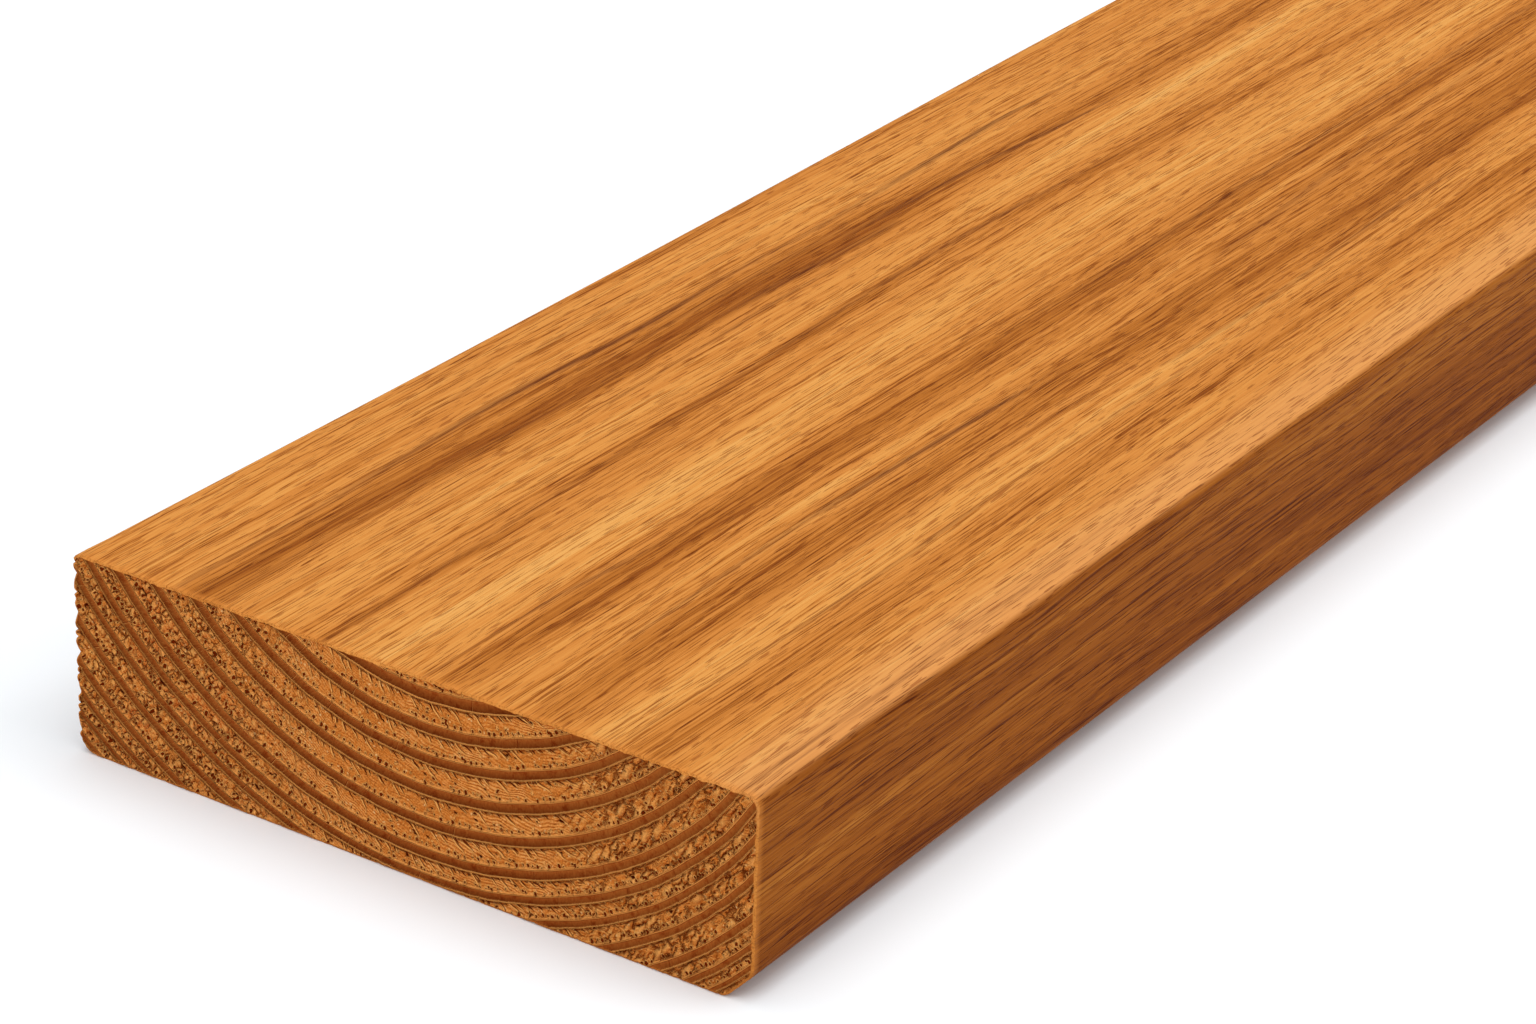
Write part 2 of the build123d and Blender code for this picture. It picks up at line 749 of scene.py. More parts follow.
@dataclass(frozen=True)
class SawnEndGrain:
    """Teak cut across the grain with a saw: dull, crumbly early wood with open pores, between
    smooth and darker bands of late wood. No oil stays on it, so it doesn't shine.

    Real fibres and vessels are 0.02 to 0.3 mm across. At the size that the board is looked at they
    would vanish, so they are drawn two to four times coarser here.
    """

    early_ramp: tuple[tuple[float, str], ...] = (
        (0.0, "8c4210"), (1.0, "f6b26a"), (0.5, "d2782e"),
    )
    late_ramp: tuple[tuple[float, str], ...] = (
        (0.0, "b86a2e"), (1.0, "5c290b"), (0.3, "964e1e"),
    )
    late_pale: str = "b46a2e"
    flush: str = "cc6420"
    # Colour of painted highlights on slopes that face up and on raised marks
    lip: str = "fcb05e"
    # Colour of the painted highlight on the raised lips along the late wood
    border: str = "f09a4c"
    # Colour of the painted highlight along the end's rim, by its small chamfer
    rim: str = "d07c30"
    # Colour of small painted highlights on beads of crushed fibre
    bead_highlight: str = "f2c080"
    # Tint of painted shade in pores, gaps, grooves and slits
    hole_shade_tint: str = "743a18"
    # Tint of painted shade on slopes, in hollows and in checks, and of the late wood's hatching and stains
    shade_and_stain_tint: str = "c88346"
    fibre_mm: float = 0.32
    crumb_mm: float = 1.2
    patch_mm: float = 12.0
    groove_mm: float = 0.62
    swirl_mm: float = 6.0
    check_mm: float = 3.6
    row_pitch_mm: float = 1.15
    slit_pitch_mm: float = 2.1
    root_pitch_mm: float = 2.2
    pore_pitch_mm: float = 1.3
    bead_pitch_mm: float = 0.95
    torn_patch_mm: float = 5.0
    torn_crumb_mm: tuple[float, float] = (1.3, 1.7)
    chip_mm: tuple[float, float] = (1.35, 3.4)
    chip_lean: float = math.radians(25.5)
    back_fade: tuple[float, float] = (12.0, 42.0)
    front_fade: tuple[float, float] = (-26.0, -46.0)
    relief_mm: float = 0.5
    # Direction of the painted light, up and towards the back, which sets the lit and shaded slopes
    painted_light_from: tuple[float, float, float] = (0.0, 0.5, 0.87)

    def find_places(self, node: AddNode) -> EndPlaces:
        """Read the mesh's measures, and lay out the parts of the end that differ.

        Args:
            node: adds a node to the finish.

        Returns:
            The places as sockets.
        """
        measures = {
            name: node("ShaderNodeAttribute", {"attribute_name": name}, output="Fac") for name in END_PLACES
        }
        flat = node(MAPPING, {}, {
            "Vector": node("ShaderNodeTexCoord", {}, output="Object"), "Scale": (0.0, 1 / MM, 1 / MM),
        })
        back, front = self.back_fade, self.front_fade
        ruffle = node(NOISE, {}, {"Vector": flat, "Scale": 0.9, "Detail": 2.0}, output="Color")
        ruffle = node(VECTOR_MATH, SUBTRACT, {0: ruffle, 1: (0.5, 0.5, 0.5)})
        spot = node(VECTOR_MATH, MULTIPLY_ADD, {0: ruffle, 1: (0.0, 0.9, 0.9), 2: flat})
        back_mm = node("ShaderNodeSeparateXYZ", {}, {0: flat}, output=1)
        return EndPlaces(
            **measures,
            flat=flat,
            spot=spot,
            whole_ring=node(MATH, {"operation": "FLOOR"}, {0: measures["ring"]}),
            to_back=node(MAP_RANGE, STEP, {0: back_mm, 1: back[0], 2: back[1]}),
            to_front=node(MAP_RANGE, STEP, {0: back_mm, 1: front[0], 2: front[1]}),
            middle=node(MATH, MULTIPLY, {
                0: node(MAP_RANGE, STEP, {0: back_mm, 1: 36.0, 2: 8.0, 3: 0.1, 4: 1.0}),
                1: node(MAP_RANGE, STEP, {0: back_mm, 1: -30.0, 2: -50.0, 3: 1.0, 4: 0.2}),
            }),
            crumbs=node(NOISE, {}, {
                "Vector": spot, "Scale": 1 / self.crumb_mm,
                "Detail": 3.0, "Roughness": 0.7, "Distortion": 0.8,
            }),
        )

    def early_wood(self, node: AddNode, at: EndPlaces) -> tuple[Socket, Socket]:
        """Colour the early wood: crumbs and fine winding grooves, redder in patches towards the back.

        Args:
            node: adds a node to the finish.
            at: places on the end.

        Returns:
            The colour, and the height of the grooves.
        """
        fibres = node(NOISE, {}, {
            "Vector": at.spot, "Scale": 1 / self.fibre_mm, "Detail": 2.0, "Roughness": 0.7,
        })
        swirl = node(NOISE, {}, {"Vector": at.flat, "Scale": 1 / self.swirl_mm, "Detail": 1.5})
        swirl = node(MATH, SUBTRACT, {0: swirl, 1: 0.5})
        bent = node(MATH, MULTIPLY_ADD, {0: at.middle, 1: 2.4, 2: 1.6})
        flow = node(MATH, MULTIPLY_ADD, {0: swirl, 1: bent, 2: at.below_late_mm})
        flow = node(MATH, MULTIPLY_ADD, {0: at.round_mm, 1: -0.27, 2: flow})
        flow = node(MATH, MULTIPLY, {0: flow, 1: 1 / self.groove_mm})
        grooves = node(MATH, PINGPONG, {0: flow, 1: 0.5})
        grooves = node(MAP_RANGE, STEP, {0: grooves, 1: 0.05, 2: 0.42})
        patches = node(NOISE, {}, {
            "Vector": at.spot, "Scale": 1 / self.patch_mm, "Detail": 2.0, "Roughness": 0.6,
        })
        shown = node(MAP_RANGE, STEP, {0: patches, 1: 0.38, 2: 0.60, 3: 0.35, 4: 1.0})
        grooves = node(MATH, MULTIPLY, {0: grooves, 1: shown})
        whole = node(MATH, MULTIPLY_ADD, {0: at.to_front, 1: -0.8, 2: 1.0})
        grooves = node(MATH, MULTIPLY, {0: grooves, 1: whole})
        mottle = node(MATH, MULTIPLY, {0: fibres, 1: 0.4})
        mottle = node(MATH, MULTIPLY_ADD, {0: at.crumbs, 1: 0.6, 2: mottle})
        mottle = node(MATH, MULTIPLY_ADD, {0: grooves, 1: 0.19, 2: mottle})
        tone = node(MAP_RANGE, {}, {0: mottle, 1: 0.30, 2: 0.86})
        colour = node(COLOUR_RAMP, {}, {0: tone}, stops=self.early_ramp)
        flushed = node(MAP_RANGE, STEP, {0: patches, 1: 0.48, 2: 0.62, 3: 0.0, 4: 0.6})
        flushed = node(MATH, MULTIPLY, {0: flushed, 1: at.to_back})
        return lay_on(node, colour, [(flushed, MIX_COLOUR, self.flush)]), mottle

    def torn_cells(self, node: AddNode, at: EndPlaces) -> tuple[Marks, Socket]:
        """Tear the early wood up: round crumbs towards the back edge, long leaning chips towards the front.

        Args:
            node: adds a node to the finish.
            at: places on the end.

        Returns:
            Crests as raised marks and gaps as holes, for painted highlight and shade, and the height of the
            cells.
        """
        marks, height = Marks(), None
        broken = node(MAP_RANGE, STEP, {0: at.crumbs, 1: 0.60, 2: 0.44})
        patches = node(NOISE, {}, {
            "Vector": at.flat, "Scale": 1 / self.torn_patch_mm, "Detail": 1.0,
        })
        patches = node(MAP_RANGE, STEP, {0: patches, 1: 0.36, 2: 0.52, 3: 0.4, 4: 1.0})
        for (narrow, long), place, gap_width, deepest in (
            (self.torn_crumb_mm, at.to_back, 0.11, 0.75),
            (self.chip_mm, at.to_front, 0.15, 0.75),
        ):
            where = node(MATH, MULTIPLY, {0: place, 1: patches})
            leaning = node(MAPPING, {"vector_type": "TEXTURE"}, {
                "Vector": at.spot, "Rotation": (self.chip_lean, 0.0, 0.0), "Scale": (1.0, narrow, long),
            })
            middle = node(VORONOI, {}, {"Vector": leaning, "Scale": 1.0})
            dome = node(MAP_RANGE, STEP, {0: middle, 1: 0.75, 2: 0.0})
            dome = node(MATH, MULTIPLY, {0: dome, 1: where})
            edge = node(VORONOI, {"feature": "DISTANCE_TO_EDGE"}, {
                "Vector": leaning, "Scale": 1.0,
            })
            gap = node(MAP_RANGE, STEP, {0: edge, 1: 0.02, 2: gap_width, 3: broken, 4: 0.0})
            gap = node(MATH, MULTIPLY, {0: gap, 1: where})
            gap = node(MATH, MULTIPLY, {0: gap, 1: deepest})
            crest = node(MAP_RANGE, STEP, {0: edge, 1: 0.10, 2: 0.24, 3: 0.0, 4: 0.75})
            crest = node(MATH, MULTIPLY, {0: crest, 1: dome})
            height = dome if height is None else node(MATH, ADD, {0: height, 1: dome})
            marks = Marks(raised=(*marks.raised, crest), holes=(*marks.holes, gap))
        return marks, height

    def beads(self, node: AddNode, at: EndPlaces) -> Socket:
        """Paint small pale beads over the early wood as highlights on crushed fibre, most of them towards the
        back.
        """
        cells = node(VORONOI, {}, {"Vector": at.spot, "Scale": 1 / self.bead_pitch_mm}).node
        chance = node(SPLIT_COLOUR, {}, {0: cells.outputs["Color"]}).node.outputs
        least = node(MAP_RANGE, {}, {0: at.to_back, 1: 0.0, 2: 1.0, 3: 0.88, 4: 0.66})
        present = node(MATH, GREATER_THAN, {0: chance[0], 1: least})
        bead_highlight = node(MAP_RANGE, STEP, {
            0: cells.outputs["Distance"], 1: 0.26, 2: 0.12, 3: 0.0, 4: 0.8,
        })
        return node(MATH, MULTIPLY, {0: bead_highlight, 1: present})

    def roots(self, node: AddNode, at: EndPlaces) -> Marks:
        """Hang raised roots from each band, painted light as highlights, each with a groove beside it, and
        lean slits by them.

        Args:
            node: adds a node to the finish.
            at: places on the end.

        Returns:
            The roots as raised marks, and the grooves and slits as holes.
        """
        leaning = node(MATH, MULTIPLY_ADD, {0: at.below_late_mm, 1: -0.9, 2: at.round_mm})
        sway = node(NOISE, {}, {
            "Vector": at.flat, "Scale": 0.3, "Detail": 1.0, "Roughness": 0.3,
        })
        leaning = node(MATH, MULTIPLY_ADD, {0: sway, 1: 2.0, 2: leaning})
        marks = []
        for pitch, shift, beside, longest, half_width in (
            (self.root_pitch_mm, 31.3, 0.0, 3.4, 0.24),
            (self.root_pitch_mm, 31.3, -0.38, 2.4, 0.18),
            (self.slit_pitch_mm, 11.1, 0.0, 1.4, 0.20),
        ):
            line = node(MATH, MULTIPLY_ADD, {0: at.whole_ring, 1: shift, 2: leaning})
            line = node(MATH, ADD, {0: line, 1: beside})
            cells = node(VORONOI, ALONG_LINE, {
                "W": line, "Scale": 1 / pitch, "Randomness": 0.7,
            }).node
            chance = node(SPLIT_COLOUR, {}, {0: cells.outputs["Color"]}, output=0)
            length = node(MATH, MULTIPLY_ADD, {0: chance, 1: longest, 2: 0.6})
            taper = node(MATH, {"operation": "DIVIDE"}, {0: at.below_late_mm, 1: length})
            taper = node(MAP_RANGE, {}, {0: taper, 1: 0.5, 2: 1.0, 3: half_width, 4: -0.05})
            gap = node(MATH, MULTIPLY_ADD, {0: cells.outputs["Distance"], 1: -pitch, 2: taper})
            marks.append(node(MAP_RANGE, STEP, {0: gap, 1: -0.02, 2: 0.08}))
        under = node(MATH, SUBTRACT, {0: at.below_late_mm, 1: 0.40})
        under = node(MATH, ABSOLUTE, {0: under})
        under = node(MAP_RANGE, STEP, {0: under, 1: 0.06, 2: 0.20, 3: 0.7, 4: 0.0})
        broken = node(MAP_RANGE, STEP, {0: at.crumbs, 1: 0.44, 2: 0.56})
        under = node(MATH, MULTIPLY, {0: under, 1: broken})
        root, groove, slit = marks
        groove = node(MATH, MULTIPLY, {0: groove, 1: 0.7})
        root, groove, slit = (
            node(MATH, MULTIPLY, {0: mark, 1: at.middle}) for mark in (root, groove, slit)
        )
        return Marks(raised=(root,), holes=(under, groove, slit))

    def open_pores(self, node: AddNode, gap: Socket, present: Socket) -> Marks:
        """Open pores, each with a raised brim painted light as a highlight.

        Args:
            node: adds a node to the finish.
            gap: how far inside a pore's edge the place is, in millimetres.
            present: 1 where the pore is there, else 0.

        Returns:
            The brims as raised marks and the pores as holes.
        """
        hole = node(MAP_RANGE, STEP, {0: gap, 1: -0.04, 2: 0.08})
        brim = node(MAP_RANGE, STEP, {0: gap, 1: -0.22, 2: -0.06, 3: 0.0, 4: 0.95})
        brim, hole = (node(MATH, MULTIPLY, {0: mark, 1: present}) for mark in (brim, hole))
        return Marks(raised=(brim,), holes=(hole,))

    def pore_rows(self, node: AddNode, at: EndPlaces) -> Marks:
        """Open a row of pores above each band, larger towards the back edge, with brims painted light as
        highlights.

        Args:
            node: adds a node to the finish.
            at: places on the end.

        Returns:
            The brims as raised marks and the pores as holes.
        """
        line = node(MATH, MULTIPLY_ADD, {0: at.whole_ring, 1: 17.3, 2: at.round_mm})
        cells = node(VORONOI, ALONG_LINE, {
            "W": line, "Scale": 1 / self.row_pitch_mm, "Randomness": 0.9,
        }).node
        chance = node(SPLIT_COLOUR, {}, {0: cells.outputs["Color"]}).node.outputs
        size = node(MATH, MULTIPLY_ADD, {0: chance[2], 1: 0.16, 2: 0.16})
        size = node(MATH, MULTIPLY_ADD, {0: at.to_back, 1: 0.06, 2: size})
        height = node(MATH, MULTIPLY_ADD, {0: chance[0], 1: -0.5, 2: at.above_late_mm})
        height = node(MATH, SUBTRACT, {0: height, 1: 0.34})
        height = node(MATH, MULTIPLY, {0: height, 1: 0.75})
        sideways = node(MATH, MULTIPLY, {0: cells.outputs["Distance"], 1: self.row_pitch_mm})
        span = node(VECTOR_MATH, {"operation": "LENGTH"}, {
            0: node("ShaderNodeCombineXYZ", {}, {0: sideways, 1: height}),
        }, output="Value")
        gap = node(MATH, SUBTRACT, {0: size, 1: span})
        gap = node(MATH, MULTIPLY_ADD, {0: at.crumbs, 1: 0.9, 2: gap})
        gap = node(MATH, SUBTRACT, {0: gap, 1: 0.48})
        present = node(MAP_RANGE, {}, {0: chance[1], 1: 0.18, 2: 0.22})
        return self.open_pores(node, gap, present)

    def scattered_pores(self, node: AddNode, at: EndPlaces) -> Marks:
        """Scatter pores over the early wood, larger and crowded towards the back edge.

        Args:
            node: adds a node to the finish.
            at: places on the end.

        Returns:
            The brims as raised marks and the pores as holes.
        """
        cells = node(VORONOI, {}, {"Vector": at.spot, "Scale": 1 / self.pore_pitch_mm}).node
        chance = node(SPLIT_COLOUR, {}, {0: cells.outputs["Color"]}).node.outputs
        least = node(MAP_RANGE, {}, {0: at.to_back, 1: 0.0, 2: 1.0, 3: 0.76, 4: 0.36})
        present = node(MATH, GREATER_THAN, {0: chance[0], 1: least})
        radius = node(MATH, MULTIPLY_ADD, {0: chance[1], 1: 0.15, 2: -0.36})
        radius = node(MATH, MULTIPLY_ADD, {0: at.to_back, 1: 0.06, 2: radius})
        radius = node(MATH, MULTIPLY_ADD, {0: at.crumbs, 1: 0.95, 2: radius})
        gap = node(MATH, MULTIPLY_ADD, {
            0: cells.outputs["Distance"], 1: -self.pore_pitch_mm, 2: radius,
        })
        return self.open_pores(node, gap, present)

    def late_wood(self, node: AddNode, at: EndPlaces) -> tuple[Socket, Socket]:
        """Colour the late wood: lighter where it starts, darkest outside, with short radial checks.

        Args:
            node: adds a node to the finish.
            at: places on the end.

        Returns:
            The colour and the checks.
        """
        colour = node(COLOUR_RAMP, {}, {0: at.into_late}, stops=self.late_ramp)
        paler = node(MATH, MULTIPLY, {0: at.to_back, 1: 0.12})
        paler = node(MATH, MULTIPLY_ADD, {0: at.to_front, 1: 0.28, 2: paler})
        slanted = node(MATH, MULTIPLY_ADD, {0: at.whole_ring, 1: 37.7, 2: at.round_mm})
        slanted = node(MATH, MULTIPLY_ADD, {0: at.into_late, 1: 0.5, 2: slanted})
        cells = node(VORONOI, ALONG_LINE, {
            "W": slanted, "Scale": 1 / self.check_mm,
        }).node
        chance = node(SPLIT_COLOUR, {}, {0: cells.outputs["Color"]}, output=0)
        chance = node(MAP_RANGE, {}, {0: chance, 1: 0.55, 2: 0.95, 3: 0.0, 4: 0.8})
        checks = node(MAP_RANGE, STEP, {
            0: cells.outputs["Distance"], 1: 0.012, 2: 0.04, 3: chance, 4: 0.0,
        })
        hatch = node(NOISE, {}, {
            "Vector": node("ShaderNodeCombineXYZ", {}, {
                0: slanted, 1: node(MATH, MULTIPLY, {0: at.below_late_mm, 1: 0.35}),
            }),
            "Scale": 2.6, "Detail": 2.0, "Roughness": 0.7,
        })
        hatch = node(MAP_RANGE, {}, {0: hatch, 1: 0.35, 2: 0.72, 3: 0.0, 4: 0.5})
        stain = node(NOISE, {}, {
            "Vector": at.flat, "Scale": 0.5, "Detail": 3.0, "Roughness": 0.75,
        })
        stain = node(MAP_RANGE, STEP, {0: stain, 1: 0.48, 2: 0.68, 3: 0.0, 4: 0.65})
        checks = node(MATH, MAXIMUM, {0: checks, 1: hatch})
        # Checks are darkened as painted shade; the hatching and stains are the late wood's own darker grain
        colour = lay_on(node, colour, [
            (paler, MIX_COLOUR, self.late_pale),
            (checks, TINT_COLOUR, self.shade_and_stain_tint),
            (stain, TINT_COLOUR, self.shade_and_stain_tint),
        ])
        return colour, checks

    def lips(self, node: AddNode, at: EndPlaces) -> Socket:
        """Mark the raised lips on both borders of the late wood, which are painted light as highlights."""
        start_lip = node(MATH, ABSOLUTE, {0: at.above_late_mm})
        start_lip = node(MAP_RANGE, STEP, {0: start_lip, 1: 0.10, 2: 0.28, 3: 0.85, 4: 0.0})
        end_lip = node(MATH, PINGPONG, {0: at.ring, 1: 0.5})
        end_lip = node(MAP_RANGE, STEP, {0: end_lip, 1: 0.012, 2: 0.036, 3: 0.85, 4: 0.0})
        return node(MATH, MAXIMUM, {0: start_lip, 1: end_lip})

    def early_marks(self, node: AddNode, at: EndPlaces, not_band: Socket) -> tuple[Socket, Socket, Socket]:
        """Draw every mark on the early wood, and join the raised ones and the holes.

        Args:
            node: adds a node to the finish.
            at: places on the end.
            not_band: 1 on the early wood and 0 on the late wood.

        Returns:
            All that is raised, all the holes, and the height of the torn cells.
        """
        torn, cells = self.torn_cells(node, at)
        marks = [torn, self.roots(node, at), self.pore_rows(node, at), self.scattered_pores(node, at)]
        joined = []
        for group in (
            [socket for mark in marks for socket in mark.raised],
            [socket for mark in marks for socket in mark.holes],
        ):
            highest = reduce(lambda one, other: node(MATH, MAXIMUM, {0: one, 1: other}), group)
            joined.append(node(MATH, MULTIPLY, {0: not_band, 1: highest}))
        big_holes = node(MAP_RANGE, STEP, {0: at.pore, 1: 0.35, 2: 0.7})
        holes = node(MATH, MAXIMUM, {0: big_holes, 1: joined[1]})
        return joined[0], holes, cells

    def make(self) -> bpy.types.Material:
        """Build the material.

        Returns:
            The finished material.
        """
        material = bpy.data.materials.new("sawn_teak_end_grain")
        material.use_nodes = True
        tree = material.node_tree
        tree.nodes.clear()
        node = partial(add_node, tree)
        at = self.find_places(node)
        early, mottle = self.early_wood(node, at)
        late, checks = self.late_wood(node, at)
        band = node(MAP_RANGE, STEP, {0: at.above_late_mm, 1: 0.05, 2: -0.05})
        not_band = node(MATH, SUBTRACT, {0: 1.0, 1: band})
        raised, holes, cells = self.early_marks(node, at, not_band)
        lips = self.lips(node, at)

        # Relief: raised marks and lips stand up, and holes and checks go down
        relief = node(MATH, MULTIPLY_ADD, {0: cells, 1: 1.25, 2: mottle})
        relief = node(MATH, MULTIPLY, {0: relief, 1: not_band})
        for mark, rise in ((raised, 0.5), (lips, 0.4), (checks, -0.2), (holes, -1.0)):
            relief = node(MATH, MULTIPLY_ADD, {0: mark, 1: rise, 2: relief})
        bump = node(BUMP, {}, {"Strength": 1.0, "Distance": self.relief_mm * MM, "Height": relief})
        tilt = node(VECTOR_MATH, {"operation": "DOT_PRODUCT"}, {
            0: bump, 1: self.painted_light_from,
        }, output="Value")

        # Painted light and shade over the wood's colour: highlights, and shade on slopes, in hollows and in
        # holes
        beads = node(MATH, MULTIPLY, {0: self.beads(node, at), 1: not_band})
        # Painted highlight on slopes of the relief that face up and back
        painted_highlight = node(MAP_RANGE, STEP, {0: tilt, 1: 0.10, 2: 0.72, 3: 0.0, 4: 0.72})
        # Painted shade on slopes of the relief that face down and forward
        shade = node(MAP_RANGE, STEP, {0: tilt, 1: -0.08, 2: -0.75, 3: 0.0, 4: 0.8})
        # Painted shade in the deepest hollows of the mesh
        sunk = node(MAP_RANGE, STEP, {0: at.depth_mm, 1: 0.52, 2: 1.05})
        shade = node(MATH, MAXIMUM, {0: shade, 1: sunk})
        # Painted highlight on the raised crests, roots and pore brims
        light = node(MATH, MULTIPLY, {0: raised, 1: 0.85})
        # Painted highlight along the end's rim
        rim = node(MATH, MULTIPLY_ADD, {0: at.crumbs, 1: -0.6, 2: at.rim_mm})
        rim = node(MAP_RANGE, STEP, {0: rim, 1: -0.34, 2: -0.10, 3: 0.55, 4: 0.0})
        colour = node(MIX, MIX_COLOUR, {0: band, 6: early, 7: late}, output=2)
        colour = lay_on(node, colour, [
            (beads, MIX_COLOUR, self.bead_highlight),
            (painted_highlight, MIX_COLOUR, self.lip),
            (shade, TINT_COLOUR, self.shade_and_stain_tint),
            (light, MIX_COLOUR, self.lip),
            # Painted highlight on the lips
            (lips, MIX_COLOUR, self.border),
            (rim, MIX_COLOUR, self.rim),
            # Painted shade in the holes: pores, gaps, grooves and slits
            (holes, TINT_COLOUR, self.hole_shade_tint),
        ])

        surface = node("ShaderNodeBsdfPrincipled", {}, {
            "Base Color": colour, "Roughness": 0.85, "Specular IOR Level": 0.0, "Normal": bump,
        })
        output = tree.nodes.new("ShaderNodeOutputMaterial")
        tree.links.new(surface, output.inputs["Surface"])
        return material


@dataclass(frozen=True)
class Streak:
    """One streak of colour along the top face, in millimetres.

    The path and the fade both run by distance from the near end. The path gives the distance from
    the back edge, and the fade gives the streak's strength from 0 to 1.
    """

    path: tuple[tuple[float, float], ...]
    half_width: float
    weight: float
    fade: tuple[tuple[float, float], ...]

    def shade(
        self, node: AddNode, share_along: Socket, from_back: Socket, reach: float, width: float,
    ) -> Socket:
        """Draw the streak.

        Args:
            node: adds a node to the finish.
            share_along: distance from the near end, as a share of the reach.
            from_back: distance from the back edge in millimetres.
            reach: distance from the near end that the curves cover.
            width: the board's width.

        Returns:
            The streak's strength at each place, with its weight.
        """
        path = [(along / reach, across / width) for along, across in self.path]
        fade = [(along / reach, share) for along, share in self.fade]
        middle = node("ShaderNodeFloatCurve", {}, {"Value": share_along}, stops=path)
        strength = node("ShaderNodeFloatCurve", {}, {"Value": share_along}, stops=fade)
        strength = node(MATH, MULTIPLY, {0: strength, 1: self.weight})
        gap = node(MATH, MULTIPLY_ADD, {0: middle, 1: -width, 2: from_back})
        gap = node(MATH, ABSOLUTE, {0: gap})
        return node(MAP_RANGE, STEP, {0: gap, 1: 0.0, 2: self.half_width, 3: strength, 4: 0.0})


# Streaks that show on the top face, each as path, half width, weight and fade
PALE_BANDS = (
    Streak(((0, 9), (200, 10), (400, 9)), 8.0, 0.16,
           ((0, 1.0), (70, 0.6), (250, 0.5), (420, 0.2))),
    Streak(((0, 43), (120, 41), (300, 38), (400, 36)), 7.0, 0.24,
           ((0, 1.0), (60, 0.9), (150, 0.6), (300, 1.0), (420, 0.9))),
    Streak(((0, 62), (90, 66), (200, 60), (300, 64), (400, 66)), 11.0, 0.24,
           ((0, 0.9), (80, 1.0), (200, 0.7), (320, 1.0), (420, 1.0))),
    Streak(((0, 88), (120, 88), (200, 89), (280, 84), (400, 86)), 2.5, 0.20,
           ((0, 0.6), (90, 0.9), (420, 0.9))),
    Streak(((0, 108), (100, 108), (200, 112)), 5.0, 0.24,
           ((0, 1.0), (150, 0.6), (250, 0.0))),
    Streak(((0, 133), (200, 134), (400, 134)), 9.0, 0.16,
           ((0, 0.8), (200, 1.0), (420, 0.9))),
)
BROWN_BANDS = (
    Streak(((0, 28), (120, 28), (200, 29), (400, 28)), 9.0, -0.34,
           ((0, 0.6), (60, 0.9), (150, 1.0), (205, 1.0), (250, 0.5), (420, 0.5))),
    Streak(((0, 53), (60, 52), (110, 50), (150, 47.5), (200, 46.5), (262, 49), (320, 52)), 3.2, -0.32,
           ((0, 0.5), (90, 0.8), (160, 1.0), (250, 0.8), (420, 0.4))),
    Streak(((0, 78), (60, 80), (160, 80.5), (400, 80)), 8.5, -0.40,
           ((0, 0.2), (60, 0.9), (200, 1.0), (240, 0.7), (420, 0.7))),
    Streak(((0, 98), (60, 98), (180, 99), (260, 102), (340, 100)), 9.0, -0.34,
           ((0, 0.3), (60, 0.8), (200, 1.0), (300, 1.0), (420, 0.5))),
    Streak(((0, 118), (200, 119), (400, 118)), 6.0, -0.20,
           ((0, 0.8), (200, 0.7), (420, 0.6))),
)
